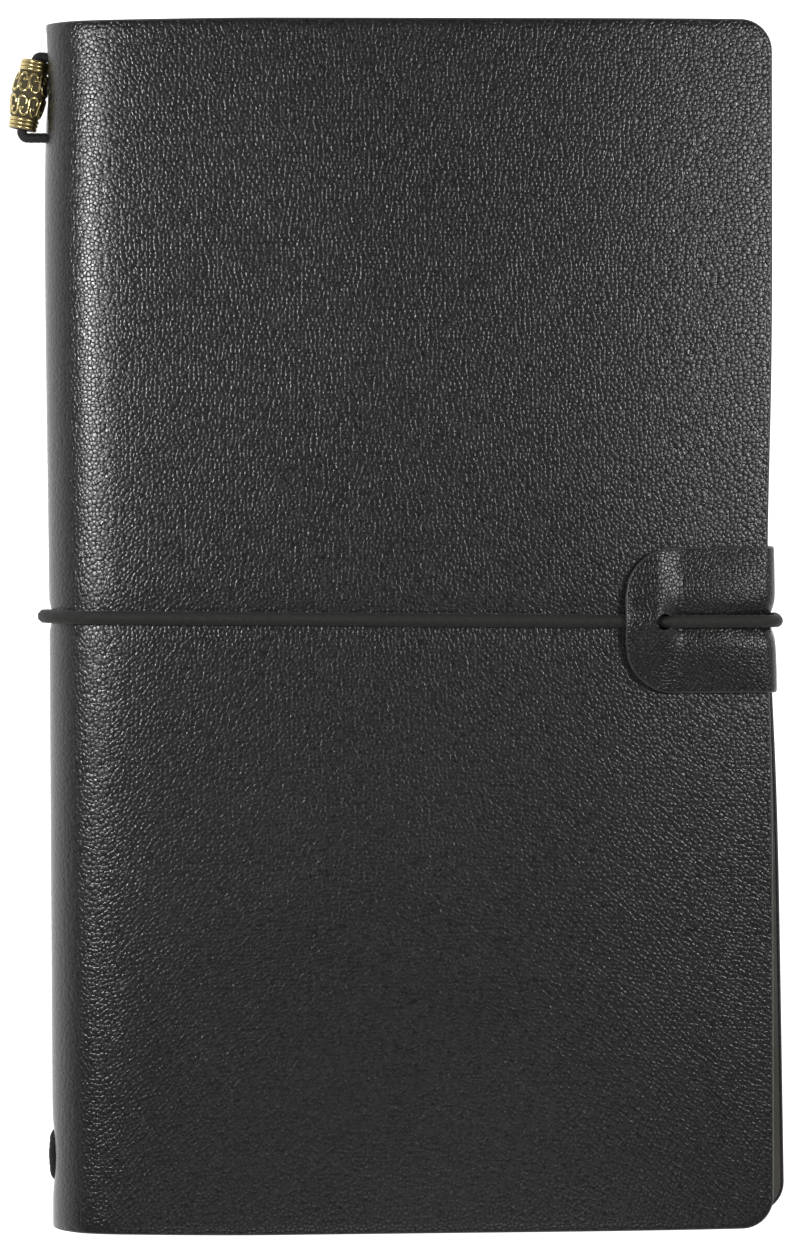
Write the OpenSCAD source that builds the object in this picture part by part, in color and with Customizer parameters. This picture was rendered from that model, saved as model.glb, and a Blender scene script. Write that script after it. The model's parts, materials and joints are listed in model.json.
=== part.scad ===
// Refillable pocket notebook: a wrap-round leather cover with a half-round spine, three stapled
// booklets held by elastic strands in their centre folds, a leather pull tab on an elastic loop
// that keeps it shut, and a brass bead on the binding elastic outside the spine.
// The notebook lies on its back cover. +X points to the fore-edge, +Y to the head, +Z up.
// The origin is under the middle of the whole object, on the plane of the back cover's outer face.

/* [Cover] */
// Height of the cover, head to tail
cover_h = 203; // [170:1:220]
// Width of the closed cover, from the spine's outside to the front fore-edge
cover_w = 121.4; // [100:0.1:140]
// Thickness of the closed notebook over both covers
closed_t = 18; // [18:0.5:22]
// Thickness of the outer leather
leather_t = 1.8; // [1.7:0.1:2]
// Thickness of the lining
lining_t = 0.4; // [0.3:0.1:0.5]
// Radius of the cover's corners at the fore-edge
corner_r = 5; // [3:0.5:9]
// How far the back cover stands out past the front one, halfway up
back_reach = 2.5; // [0:0.1:3]
// How much further it stands out at the tail, and less at the head
back_skew = 1.5; // [0:0.1:2]

/* [Booklets] */
// Height of a booklet
book_h = 195; // [160:1:205]
// Width of a booklet
book_w = 108; // [90:1:110]
// Thickness of a booklet
book_t = 3.9; // [3.6:0.1:4]
// Thickness of a booklet's card cover
card_t = 0.3; // [0.2:0.05:0.4]
// How much deeper the middle booklet sits in the round of the spine
book_offset = 3; // [1:0.5:4]
// Radius of a booklet's corners
book_corner_r = 4; // [1:0.5:6]

/* [Closure] */
// Diameter of the closure elastic
cord_d = 2.4; // [2:0.1:2.6]
// Height along the spine at which the closure sits
closure_y = 1.1; // [-5:0.1:5]
// Width of the pull tab
tab_w = 24.2; // [20:0.2:30]
// Length of the tab on the front cover, from its round end to the fore-edge
tab_l = 24.9; // [20:0.2:30]
// Thickness of the tab's leather
tab_t = 1; // [0.8:0.1:1.2]
// Length of the tab on the back cover
tab_back_l = 16; // [12:0.5:24]

/* [Bead] */
// Length of the bead
bead_l = 11.7; // [9:0.1:13]
// Largest diameter of the bead
bead_d = 6; // [5.4:0.1:6.4]
// Diameter of the bead's ends
bead_end_d = 4.8; // [4:0.1:5]
// Lean of the bead away from the spine at its lower end, in degrees
bead_lean = 11.5; // [0:0.5:12]

/* [Hidden] */
$fn = 64;
eps = 0.01;

// What stands out past the cover: the leaning bead on the left, the back cover on the right
bead_gap = -0.2;
ring_l = 1.9;
ring_inset = 0.1;
bead_flat = (bead_d - bead_end_d) / 2;
bead_bulge = (pow(bead_l / 2 - ring_l, 2) + pow(bead_flat, 2)) / (2 * bead_flat);
bead_out = bead_gap + bead_d / 2;
out_left = bead_out + max(
    (bead_d / 2 - bead_bulge) * cos(bead_lean) + bead_bulge,
    (bead_l / 2 - ring_inset) * sin(bead_lean) + bead_end_d / 2 * cos(bead_lean)
);
out_right = back_reach + back_skew;

// Cover
wall_t = leather_t + lining_t;
spine_out_x = (out_left - cover_w - out_right) / 2;
spine_r = closed_t / 2;
spine_x = spine_out_x + spine_r;
spine_z = spine_r;
edge_x = spine_out_x + cover_w;
joint_gap = 0.2;
notch_w = 5.4;
notch_d = 1.3;

// Booklets, from the bottom one up
book_gap = 0.3;
book_base = wall_t + 1.1;
book_z = [for (i = [0:2]) book_base + book_t / 2 + i * (book_t + book_gap)];
book_x = [spine_x + 0.3, spine_x + 0.3 - book_offset, spine_x + 0.3];
fold_r = book_t / 2;
strand_d = 1.2;
strand_bore_r = 0.75;
leaf_gap = 0.03;
staple_y = book_h / 4;
staple_w = 12;
staple_wire = 0.5;

// Cords and their holes in the spine
thin_cord_d = 1.7;
hole_r = 1.1;
closure_hole_r = 2.7;
head_holes_y = [95.4, 82.3];
tail_holes_y = [-84.8, -92.9];
pocket_d = 1;
groove_d = 1.3;
clear = 0.15;

// Closure
front_run_z = closed_t + clear + cord_d / 2;
flat_d = 1.4;
back_run_z = 0.05 + flat_d / 2;
tab_back_t = 0.9;
under_tab_z = 0.1 + tab_back_t + 0.1 + flat_d / 2;
tab_web_x = edge_x + 0.2;
tab_hole_x = edge_x - tab_l + 6;
tab_top_z = closed_t + clear;
tab_lift = cord_d + clear;

// ---------- shapes used by several parts ----------

function unit(v) = v / norm(v);

// The points of one rounded corner at b, between a and c.
function fillet(a, b, c, r, steps) =
    let (
        p = unit(a - b),
        q = unit(c - b),
        half = acos(p * q) / 2,
        centre = b + unit(p + q) * r / sin(half),
        from = b + p * r / tan(half) - centre,
        to = b + q * r / tan(half) - centre,
        turn = 180 - 2 * half
    )
    [for (i = [0:steps]) centre
        + (from * sin(turn * (1 - i / steps)) + to * sin(turn * i / steps)) / sin(turn)];

// A polyline with every corner rounded: each point is [x, y, corner radius].
function rounded(points, steps = 5) =
    let (last = len(points) - 1, flat = [for (p = points) [p.x, p.y]])
    concat(
        [flat[0]],
        [for (i = [1:last - 1], p = fillet(flat[i - 1], flat[i], flat[i + 1], points[i][2], steps)) p],
        [flat[last]]
    );

// A tube along a flat route: u and v span the route's plane, r is [radius in plane, radius across it].
module tube(route, origin, u, v, r, sides = 8) {
    across = cross(u, v);
    n = len(route);
    at = [for (p = route) origin + u * p.x + v * p.y];
    tangent = [for (i = [0:n - 1]) unit(at[min(i + 1, n - 1)] - at[max(i - 1, 0)])];
    points = [for (i = [0:n - 1], k = [0:sides - 1])
        let (a = 360 * (k + 0.5) / sides)
        at[i] + cross(across, tangent[i]) * r[0] * cos(a) + across * r[1] * sin(a)];
    sleeves = [for (i = [0:n - 2], k = [0:sides - 1])
        [i * sides + k, i * sides + (k + 1) % sides,
         (i + 1) * sides + (k + 1) % sides, (i + 1) * sides + k]];
    first = [for (k = [0:sides - 1]) sides - 1 - k];
    last = [for (k = [0:sides - 1]) (n - 1) * sides + k];
    polyhedron(points = points, faces = concat(sleeves, [first], [last]), convexity = 6);
}

// A flat board from x0 to x1 with its two fore-edge corners rounded.
module board(x0, x1, half_h, r, z0, t, skew = 0) {
    translate([0, 0, z0])
    linear_extrude(t)
    union() {
        polygon([
            [x0, -half_h], [x1 + skew - r, -half_h], [x1 + skew, -half_h + r],
            [x1 - skew, half_h - r], [x1 - skew - r, half_h], [x0, half_h]
        ]);
        for (s = [-1, 1])
            translate([x1 - s * skew - r, s * (half_h - r)]) circle(r = r);
    }
}

// An extrusion along Y of a profile drawn in x and z.
module along_y(h) {
    rotate([90, 0, 0]) linear_extrude(h, center = true) children();
}

// The half-round wall of the spine between two radii.
module spine_wall(r0, r1) {
    along_y(cover_h)
    translate([spine_x, spine_z])
    difference() {
        circle(r = r1);
        circle(r = r0);
        translate([0, -2 * r1]) square([2 * r1, 4 * r1]);
    }
}

// The holes for the cords through the spine.
module spine_holes() {
    for (y = concat(head_holes_y, tail_holes_y))
        translate([spine_out_x - 1, y, spine_z])
        rotate([0, 90, 0])
        cylinder(h = spine_r, r = hole_r);
    translate([spine_out_x - 1, closure_y, spine_z])
    rotate([0, 90, 0])
    cylinder(h = spine_r, r = closure_hole_r);
}

// The room that the closure takes out of a cover's fore-edge, where elastic and tab press in.
module edge_notch(z0, t) {
    translate([edge_x - notch_d, closure_y - notch_w / 2, z0 - eps])
    cube([10, notch_w, t + 2 * eps]);
}

// The hollow that the tab presses into the back cover's fore-edge and outer face.
module tab_pocket() {
    translate([edge_x - tab_back_l, closure_y - tab_w / 2 - 0.3, -eps])
    cube([tab_back_l + 10, tab_w + 0.6, 0.1 + tab_back_t + 0.1]);
    translate([edge_x, closure_y - tab_w / 2 - 0.3, -eps])
    cube([10, tab_w + 0.6, wall_t + 1]);
}

// The channel that the elastic presses into the back cover, up to height top.
module elastic_channel(x0, x1, top) {
    translate([x0, closure_y - cord_d / 2 - 0.3, -eps])
    cube([x1 - x0, cord_d + 0.6, top + eps]);
}

// ---------- cover ----------

module back_cover_leather() {
    color("#262628")
    difference() {
        board(spine_x, edge_x + back_reach, cover_h / 2, corner_r, 0, leather_t, back_skew);
        tab_pocket();
        elastic_channel(spine_x - eps, edge_x - tab_back_l, back_run_z + flat_d / 2 + 0.1);
        elastic_channel(edge_x - tab_back_l - 4, edge_x + 10, leather_t + 1);
        edge_notch(0, leather_t);
    }
}

module back_cover_lining() {
    boss_l = tab_back_l + 3.4;
    boss_top = under_tab_z + flat_d / 2 + 0.5;
    color("#4b4843")
    difference() {
        union() {
            board(spine_x, edge_x + back_reach - 0.8, cover_h / 2 - 0.8, corner_r - 0.8,
                leather_t, lining_t, back_skew);
            translate([edge_x - boss_l - notch_d, closure_y - notch_w / 2, leather_t])
            cube([boss_l, notch_w, boss_top - leather_t]);
        }
        translate([edge_x, closure_y - tab_w / 2 - 0.3, 0]) cube([10, tab_w + 0.6, 4]);
        elastic_channel(edge_x - tab_back_l - 4, edge_x + 10, under_tab_z + flat_d / 2 + 0.1);
        edge_notch(0, 4);
    }
}

module spine_leather() {
    color("#2b2b2d")
    difference() {
        spine_wall(spine_r - leather_t, spine_r);
        spine_holes();
        lower_spine_channel();
        bead_pocket();
        tail_groove();
    }
}

// The hollow that the upper end of the bead presses into the spine.
module bead_pocket() {
    translate([spine_out_x - 1, bead_at.y - 3, spine_z - spine_r / 2])
    cube([1 + pocket_d, bead_l / 2 + 4, spine_r]);
}

// The groove that the tail cord presses into the spine between its holes.
module tail_groove() {
    translate([spine_out_x - 1, tail_holes_y[1], spine_z - hole_r])
    cube([1 + groove_d, tail_holes_y[0] - tail_holes_y[1], 2 * hole_r]);
}

// The groove that the elastic presses into the lower half of the spine.
module lower_spine_channel() {
    translate([spine_x, closure_y, spine_z])
    rotate([90, 0, 0])
    rotate_extrude(angle = 360)
    translate([spine_r - flat_d - 0.15, -cord_d / 2 - 0.3])
    square([flat_d + 1, cord_d + 0.6]);
}

module spine_lining() {
    color("#4b4843")
    difference() {
        spine_wall(spine_r - wall_t, spine_r - leather_t);
        spine_holes();
    }
}

module front_cover_leather() {
    color("#262628")
    difference() {
        board(spine_x + joint_gap, edge_x, cover_h / 2, corner_r, closed_t - leather_t, leather_t);
        edge_notch(closed_t - leather_t, leather_t);
    }
}

module front_cover_lining() {
    color("#4b4843")
    difference() {
        board(spine_x + joint_gap, edge_x - 0.8, cover_h / 2 - 0.8, corner_r - 0.8,
            closed_t - wall_t, lining_t);
        edge_notch(closed_t - wall_t, lining_t);
    }
}

// ---------- closure ----------

// The tab's outline from above: its front end is a round-cornered tongue.
module tab_outline(x0, x1, end_r) {
    translate([0, closure_y])
    union() {
        translate([x0 + end_r, -tab_w / 2]) square([x1 - x0 - end_r, tab_w]);
        translate([x0, -tab_w / 2 + end_r]) square([end_r + eps, tab_w - 2 * end_r]);
        for (s = [-1, 1])
            translate([x0 + end_r, s * (tab_w / 2 - end_r)]) circle(r = end_r);
    }
}

module closure_tab() {
    front_x = edge_x - tab_l;
    low = tab_top_z;
    high = tab_top_z + tab_lift;
    bend = 2.6;
    color("#2a2a2c")
    difference() {
        union() {
            // Front flap, lifted over the elastic at its round end.
            intersection() {
                translate([0, closure_y, 0])
                along_y(tab_w)
                polygon([
                    [front_x, high], [tab_hole_x - 2, high], [tab_hole_x + 3.2, low],
                    [tab_web_x + tab_t, low], [tab_web_x + tab_t, low + tab_t],
                    [tab_hole_x + 3.6, low + tab_t], [tab_hole_x - 1.6, high + tab_t],
                    [front_x, high + tab_t]
                ]);
                linear_extrude(closed_t + 10) tab_outline(front_x, tab_web_x + tab_t, 8);
            }
            // Web over the fore-edge.
            translate([tab_web_x, closure_y - tab_w / 2, 0.1])
            cube([tab_t, tab_w, low + tab_t - 0.1]);
            // Middle of the web, pressed in between the covers by the elastic.
            translate([edge_x - 1, closure_y - notch_w / 2 + 0.3, 0.1])
            cube([tab_t + 1.2, notch_w - 0.6, low + tab_t - 0.1]);
            // Back flap.
            translate([0, 0, 0.1])
            linear_extrude(tab_back_t)
            tab_outline(edge_x - tab_back_l + 0.3, tab_web_x + tab_t, 5);
        }
        // Slot that the elastic comes up through on the front.
        translate([tab_hole_x - 2.9, closure_y - cord_d / 2 - 0.2, low - 1])
        cube([6.5, cord_d + 0.4, 8]);
        // Groove down the web for the elastic.
        translate([edge_x - 0.1, closure_y - cord_d / 2 - 0.2, -1])
        cube([5, cord_d + 0.4, closed_t + 8]);
        // Slot that the elastic goes in through at the back.
        translate([edge_x - 3, closure_y - cord_d / 2 - 0.2, -1])
        cube([6, cord_d + 0.4, 4.2]);
        // The web's upper and lower outer edges are turned over a small bend.
        for (z = [0.1, low + tab_t])
            translate([tab_web_x + tab_t - bend / 2, closure_y, z])
            rotate([0, z > 1 ? 45 : 135, 0])
            translate([0, 0, bend * 0.85])
            cube([6, tab_w + 1, bend], center = true);
    }
}

// The loop comes out of the spine hole and runs over the front to the tab.
function closure_front_route() =
    let (r_out = spine_r + clear + cord_d / 2, mouth_x = spine_out_x)
    concat(
        [[mouth_x + 3.2, spine_z + 1.3], [mouth_x + 1.2, spine_z + 1.3]],
        [for (a = [158:-8.5:90]) [spine_x + r_out * cos(a), spine_z + r_out * sin(a)]],
        [[0, front_run_z], [edge_x - tab_l + 1, front_run_z]]
    );

// It comes up through the tab, round the fore-edge and in through the tab's back flap.
function closure_tab_route() =
    let (over_z = tab_top_z + tab_t + clear + cord_d / 2)
    rounded([
        [edge_x - tab_l + 1, front_run_z, 0],
        [tab_hole_x - 2, front_run_z, 4],
        [tab_hole_x + 2.4, over_z, 4],
        [edge_x + 1.1, over_z, 2.6],
        [edge_x + 1.1, under_tab_z, 1.7],
        [edge_x - tab_back_l + 1, under_tab_z, 3],
        [edge_x - tab_back_l - 2.6, back_run_z, 3],
        [edge_x - tab_back_l - 4, back_run_z, 0]
    ]);

// It runs along the back and into the spine hole again.
function closure_back_route() =
    let (r_in = spine_r - flat_d / 2 - 0.05, mouth_x = spine_out_x)
    concat(
        [[edge_x - tab_back_l - 4, back_run_z], [spine_x, back_run_z]],
        [for (a = [260:-8:196]) [spine_x + r_in * cos(a), spine_z + r_in * sin(a)]],
        [[mouth_x + 2.2, spine_z - 1.3], [mouth_x + 3.2, spine_z - 1.3]]
    );

// A stretch of the closure elastic, flattened where it is pressed on.
module closure_stretch(route) {
    color("#161615")
    tube(route, [0, closure_y, 0], [1, 0, 0], [0, 0, 1], [flat_d * 0.49, cord_d * 0.48]);
}

module closure_elastic_front() closure_stretch(closure_front_route());
module closure_elastic_tab() closure_stretch(closure_tab_route());
module closure_elastic_back() closure_stretch(closure_back_route());

module closure_knot() {
    color("#161615")
    translate([spine_out_x + 3.3, closure_y, spine_z])
    rotate([0, 90, 0])
    rotate([0, 0, 30])
    cylinder(h = 1.9, r = 2.9, $fn = 24);
}

// ---------- bead and outside runs of the binding elastic ----------

bead_at = [
    spine_out_x - bead_out,
    (head_holes_y[0] + head_holes_y[1]) / 2 + 0.55,
    spine_z
];
bead_axis = [sin(bead_lean), cos(bead_lean)];

module bead() {
    color("#8a7436")
    translate(bead_at)
    rotate([0, 0, -bead_lean])
    rotate([-90, 0, 0])
    difference() {
        union() {
            intersection() {
                cylinder(h = bead_l - 2 * ring_l, r = bead_d, center = true);
                rotate_extrude()
                intersection() {
                    translate([bead_d / 2 - bead_bulge, 0]) circle(r = bead_bulge, $fn = 180);
                    translate([0, -bead_l]) square([bead_d, 2 * bead_l]);
                }
            }
            cylinder(h = bead_l, r = bead_end_d / 2 - 0.15, center = true);
            // Three raised rings at each end.
            for (s = [-1, 1], i = [0:2])
                translate([0, 0, s * (bead_l / 2 - ring_inset - 0.22 - i * 0.64)])
                cylinder(h = 0.44, r = bead_end_d / 2 + i * 0.06, center = true);
        }
        cylinder(h = bead_l + 1, r = thin_cord_d / 2 + 0.35, center = true);
    }
}

// Out of the upper hole, down through the bead and back into the lower hole.
function bead_cord_route() =
    let (
        c = [bead_at.x, bead_at.y],
        top = c + bead_axis * (bead_l / 2 + 0.85),
        low = c - bead_axis * (bead_l / 2 + 1.4),
        wall_x = spine_out_x
    )
    rounded([
        [wall_x + 2.4, head_holes_y[0], 0],
        [top.x, top.y, 0.9],
        [low.x, low.y, 1],
        [wall_x + 2.4, head_holes_y[1], 0]
    ]);

module bead_cord() {
    color("#161615")
    tube(bead_cord_route(), [0, 0, spine_z], [1, 0, 0], [0, 1, 0],
        [thin_cord_d / 2 * 0.98, thin_cord_d / 2 * 0.98]);
}

// The short run outside the spine between the two tail holes, bowed out a little.
function tail_cord_route() =
    let (
        wall_x = spine_out_x,
        high = tail_holes_y[0],
        low = tail_holes_y[1]
    )
    rounded([
        [wall_x + 2.4, high, 0],
        [wall_x + 0.5, high - 0.1, 1.2],
        [wall_x + 0.2, (high + low) / 2, 6],
        [wall_x + 0.5, low + 0.1, 1.2],
        [wall_x + 2.4, low, 0]
    ]);

module tail_cord() {
    color("#161615")
    tube(tail_cord_route(), [0, 0, spine_z], [1, 0, 0], [0, 1, 0],
        [thin_cord_d / 2 * 0.98, thin_cord_d / 2 * 0.98]);
}

// ---------- inside strands ----------

// A strand down the centre fold of booklet i, over its head and tail to the spine, where it
// ends at the heights head_y and tail_y.
module strand(i, head_y, tail_y) {
    start = [spine_out_x + wall_t + 1.3, 0, spine_z + (i - 1) * 1.6];
    fold = [book_x[i] + fold_r, 0, book_z[i]];
    u = unit(fold - start);
    far = norm(fold - start);
    over = book_h / 2 + 1.2;
    color("#161615")
    tube(
        rounded([
            [0, head_y, 0], [0, over, 1.1], [far, over, 1.1],
            [far, -over, 1.1], [0, -over, 1.1], [0, tail_y, 0]
        ]),
        start, u, [0, 1, 0], [strand_d / 2 * 0.98, strand_d / 2 * 0.98]
    );
}

module binding_strand_top() strand(2, head_holes_y[0] + 1.2, tail_holes_y[1] - 1.2);
module binding_strand_middle() strand(1, head_holes_y[0] - 5, tail_holes_y[0] - 3);
module binding_strand_bottom() strand(0, head_holes_y[0] + 1.2, tail_holes_y[1] - 1.2);

// Knots that stop the binding elastic inside the spine.
module binding_knots() {
    color("#161615")
    for (y = concat(head_holes_y, tail_holes_y))
        translate([spine_out_x + wall_t + 0.35, y, spine_z])
        rotate([0, 90, 0])
        cylinder(h = 1.5, r = 1.15, $fn = 20);
}

// ---------- booklets ----------

// The profile of a closed booklet between two thicknesses round its fold, in x and z.
module fold_profile(i, outer_r, inner_r, x_end) {
    fx = book_x[i] + fold_r;
    translate([fx, book_z[i]])
    difference() {
        union() {
            circle(r = outer_r);
            translate([0, -outer_r]) square([x_end - fx, 2 * outer_r]);
        }
        circle(r = inner_r);
        if (inner_r > 1) translate([0, -inner_r]) square([x_end - fx + 1, 2 * inner_r]);
    }
}

// The same booklet as seen from above, with its fore-edge corners rounded.
module booklet_outline(i, inset = 0) {
    board(book_x[i] - 1, book_x[i] + book_w - inset, book_h / 2 - inset, book_corner_r,
        0, closed_t);
}

// The upper or lower half of a booklet's profile.
module half_only(i, upper) {
    fx = book_x[i] + fold_r;
    intersection() {
        children();
        translate([fx - 10, upper ? book_z[i] : book_z[i] - 10]) square([book_w + 20, 10]);
    }
}

module booklet_card(i, colour) {
    color(colour)
    intersection() {
        along_y(book_h) fold_profile(i, fold_r, fold_r - card_t, book_x[i] + book_w);
        booklet_outline(i);
    }
}

module booklet_pages(i) {
    color("#efe7d2")
    difference() {
        intersection() {
            along_y(book_h - 1)
            fold_profile(i, fold_r - card_t, strand_bore_r, book_x[i] + book_w - 0.6);
            booklet_outline(i, 0.5);
        }
        staple_room(i);
    }
}

// Two wire staples through the fold, their legs lying flat beside the strand.
module booklet_staples(i) {
    fx = book_x[i] + fold_r;
    color("#b9bbbd")
    for (s = [-1, 1])
        translate([fx, s * staple_y, book_z[i]]) {
            translate([-fold_r + card_t + 0.12, -staple_w / 2, -staple_wire / 2])
            cube([0.3, staple_w, staple_wire]);
            for (e = [-1, 1])
                translate([-fold_r + card_t + 0.12, e * (staple_w / 2 - staple_wire / 2)
                    - staple_wire / 2, -staple_wire / 2])
                cube([fold_r - card_t - strand_bore_r - 0.14, staple_wire, staple_wire]);
        }
}

// The room that the staples take in the fold.
module staple_room(i) {
    fx = book_x[i] + fold_r;
    for (s = [-1, 1])
        translate([fx - fold_r, s * staple_y - staple_w / 2 - 0.1, book_z[i] - staple_wire / 2 - 0.1])
        cube([fold_r, staple_w + 0.2, staple_wire + 0.2]);
}

// The top booklet's lower half stays on the stack.
module top_booklet_back_card() {
    i = 2;
    color("#23211f")
    intersection() {
        along_y(book_h)
        half_only(i, false)
        fold_profile(i, fold_r, fold_r - card_t, book_x[i] + book_w);
        booklet_outline(i);
    }
}

module top_booklet_lower_pages() {
    i = 2;
    color("#efe7d2")
    difference() {
        intersection() {
            along_y(book_h - 1)
            half_only(i, false)
            fold_profile(i, fold_r - card_t, strand_bore_r, book_x[i] + book_w - 0.6);
            booklet_outline(i, 0.5);
        }
        staple_room(i);
    }
}

module top_booklet_staples() {
    intersection() {
        booklet_staples(2);
        translate([book_x[2] - 1, -book_h / 2, book_z[2] - 5]) cube([10, book_h, 5 - eps]);
    }
}

// A group of leaves in the top booklet's upper half, from height low to high over the fold.
module leaf_group(low, high, inset, colour) {
    i = 2;
    fx = book_x[i] + fold_r;
    color(colour)
    intersection() {
        translate([fx, -book_h / 2 + inset, book_z[i] + low])
        cube([book_w - fold_r - inset, book_h - 2 * inset, high - low]);
        booklet_outline(i, inset);
    }
}

leaf_t = (fold_r - card_t - strand_bore_r - 3 * leaf_gap) / 3;
module leaves(k) {
    low = strand_bore_r + leaf_gap + k * (leaf_t + leaf_gap);
    leaf_group(low, low + leaf_t, 0.5, "#f1ead7");
}

module top_booklet_front_card() {
    leaf_group(fold_r - card_t + leaf_gap / 2, fold_r, 0, "#23211f");
}

// ---------- the assembly ----------

back_cover_leather();
back_cover_lining();
spine_leather();
spine_lining();
front_cover_leather();
front_cover_lining();
closure_tab();
closure_elastic_front();
closure_elastic_tab();
closure_elastic_back();
closure_knot();
bead();
bead_cord();
tail_cord();
binding_strand_top();
binding_strand_middle();
binding_strand_bottom();
binding_knots();
booklet_card(0, "#23211f");  // bottom_booklet_card
booklet_pages(0);  // bottom_booklet_pages
booklet_staples(0);  // bottom_booklet_staples
booklet_card(1, "#23211f");  // middle_booklet_card
booklet_pages(1);  // middle_booklet_pages
booklet_staples(1);  // middle_booklet_staples
top_booklet_back_card();
top_booklet_lower_pages();
top_booklet_staples();
top_booklet_front_card();
leaves(0);  // top_booklet_leaves_first
leaves(1);  // top_booklet_leaves_second
leaves(2);  // top_booklet_leaves_third
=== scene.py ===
"""Pocket notebook: leather cover, booklets, elastic closure with a pull tab, and a brass bead."""
import json
import math

import bmesh
import bpy
import numpy as np
from mathutils import Matrix, Vector, noise


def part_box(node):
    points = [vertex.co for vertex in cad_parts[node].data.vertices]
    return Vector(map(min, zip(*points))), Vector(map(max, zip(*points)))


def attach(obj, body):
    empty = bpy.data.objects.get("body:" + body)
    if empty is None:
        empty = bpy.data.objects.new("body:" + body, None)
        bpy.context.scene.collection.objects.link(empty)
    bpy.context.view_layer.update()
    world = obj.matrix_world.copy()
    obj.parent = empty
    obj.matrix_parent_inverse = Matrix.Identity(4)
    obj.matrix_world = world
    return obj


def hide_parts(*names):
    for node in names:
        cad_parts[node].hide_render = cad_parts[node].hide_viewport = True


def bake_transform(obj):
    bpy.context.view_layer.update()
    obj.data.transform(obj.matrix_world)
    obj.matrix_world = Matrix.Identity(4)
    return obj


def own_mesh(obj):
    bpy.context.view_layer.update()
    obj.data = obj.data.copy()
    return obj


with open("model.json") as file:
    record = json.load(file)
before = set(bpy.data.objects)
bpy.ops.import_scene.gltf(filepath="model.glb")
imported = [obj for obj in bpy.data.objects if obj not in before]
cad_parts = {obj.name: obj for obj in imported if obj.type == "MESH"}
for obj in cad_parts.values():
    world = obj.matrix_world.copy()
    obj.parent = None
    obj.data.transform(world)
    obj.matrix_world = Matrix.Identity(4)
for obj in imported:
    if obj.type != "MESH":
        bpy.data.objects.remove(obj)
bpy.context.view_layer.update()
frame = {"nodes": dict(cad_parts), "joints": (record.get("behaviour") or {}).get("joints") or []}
MM = 0.001

# ---------------------------------------------------------------- sizes from the frame

def corner(node, which, axis):
    """A coordinate of a node's box: which is 0 for the low corner and 1 for the high one."""
    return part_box(node)[which]["xyz".index(axis)]


SPINE_OUT_X = corner("spine_leather", 0, "x")
SPINE_X = corner("spine_leather", 1, "x")
CLOSED_T = corner("spine_leather", 1, "z")
SPINE_R = SPINE_X - SPINE_OUT_X
SPINE_Z = CLOSED_T / 2
EDGE_X = corner("front_cover_leather", 1, "x")
HALF_H = corner("front_cover_leather", 1, "y")
LEATHER_T = corner("back_cover_leather", 1, "z")
LINING_T = corner("front_cover_leather", 0, "z") - corner("front_cover_lining", 0, "z")
TAB_X0 = corner("closure_tab", 0, "x")
TAB_Y0 = corner("closure_tab", 0, "y")
TAB_Y1 = corner("closure_tab", 1, "y")
CLOSURE_Y = (TAB_Y0 + TAB_Y1) / 2
HINGES = {joint["name"]: joint for joint in frame["joints"]}
FOLD_X, _, FOLD_Z = HINGES["card_turn"]["pos_m"]
BEAD_AT = Vector(HINGES["bead_spin"]["pos_m"])
BEAD_AXIS = Vector(HINGES["bead_spin"]["axis"]).normalized()

# Sizes that only the looks need
CORNER_R = 5 * MM
BACK_REACH = 2.5 * MM
BACK_SKEW = 1.5 * MM
CORD_R = 1.15 * MM
THIN_CORD_R = 0.85 * MM
TAB_T = 1.0 * MM
PRESS = 0.25 * MM


# ---------------------------------------------------------------- mesh helpers

def new_object(name, verts, faces, material):
    """A mesh object with smooth shading and outward normals."""
    mesh = bpy.data.meshes.new(name)
    mesh.from_pydata([tuple(v) for v in verts], [], faces)
    mesh.materials.append(material)
    obj = bpy.data.objects.new(name, mesh)
    bpy.context.scene.collection.objects.link(obj)
    shaped = bmesh.new()
    shaped.from_mesh(mesh)
    bmesh.ops.recalc_face_normals(shaped, faces=shaped.faces)
    shaped.to_mesh(mesh)
    shaped.free()
    mesh.shade_smooth()
    return obj


def grid_border(rows, columns):
    """Indices round the border of a grid of vertices, starting along its first row."""
    border = list(range(columns)) + [i * columns + columns - 1 for i in range(1, rows)]
    border += [(rows - 1) * columns + r for r in range(columns - 2, -1, -1)]
    return border + [i * columns for i in range(rows - 2, 0, -1)]


def grid_faces(rows, columns, start=0, closed=False):
    """Quads between the rows of a grid of vertices, closed round each row if asked."""
    faces = []
    for i in range(rows - 1):
        for j in range(columns if closed else columns - 1):
            k = (j + 1) % columns
            a, b = start + i * columns, start + (i + 1) * columns
            faces.append((a + j, a + k, b + k, b + j))
    return faces


def apply_modifiers(obj):
    """Turns what the modifiers make into the object's own mesh."""
    bpy.context.view_layer.update()
    made = obj.evaluated_get(bpy.context.evaluated_depsgraph_get())
    mesh = bpy.data.meshes.new_from_object(made)
    obj.modifiers.clear()
    obj.data = mesh


def cut_round(obj, place, radius, depth, rotation=(0, 0, 0)):
    """Cuts a round hole through the object, along Z unless it is turned."""
    bpy.ops.mesh.primitive_cylinder_add(
        vertices=40, radius=radius, depth=depth, location=place, rotation=rotation
    )
    cutter = bpy.context.active_object
    cut = obj.modifiers.new("hole", "BOOLEAN")
    cut.object = cutter
    cut.solver = "EXACT"
    apply_modifiers(obj)
    bpy.data.objects.remove(cutter)


def smooth_step(t):
    """0 up to t = 0 and 1 from t = 1 on, with a soft start and end between."""
    t = min(max(t, 0.0), 1.0)
    return t * t * (3 - 2 * t)


def bell(distance, width):
    """1 at no distance, falling to 0 some way beyond width."""
    return math.exp(-((distance / width) ** 2))


def waviness(x, y, size, seed):
    """Slow hills and hollows between -1 and 1."""
    return noise.noise(Vector((x / size, y / size, seed)))


# ---------------------------------------------------------------- materials

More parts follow.
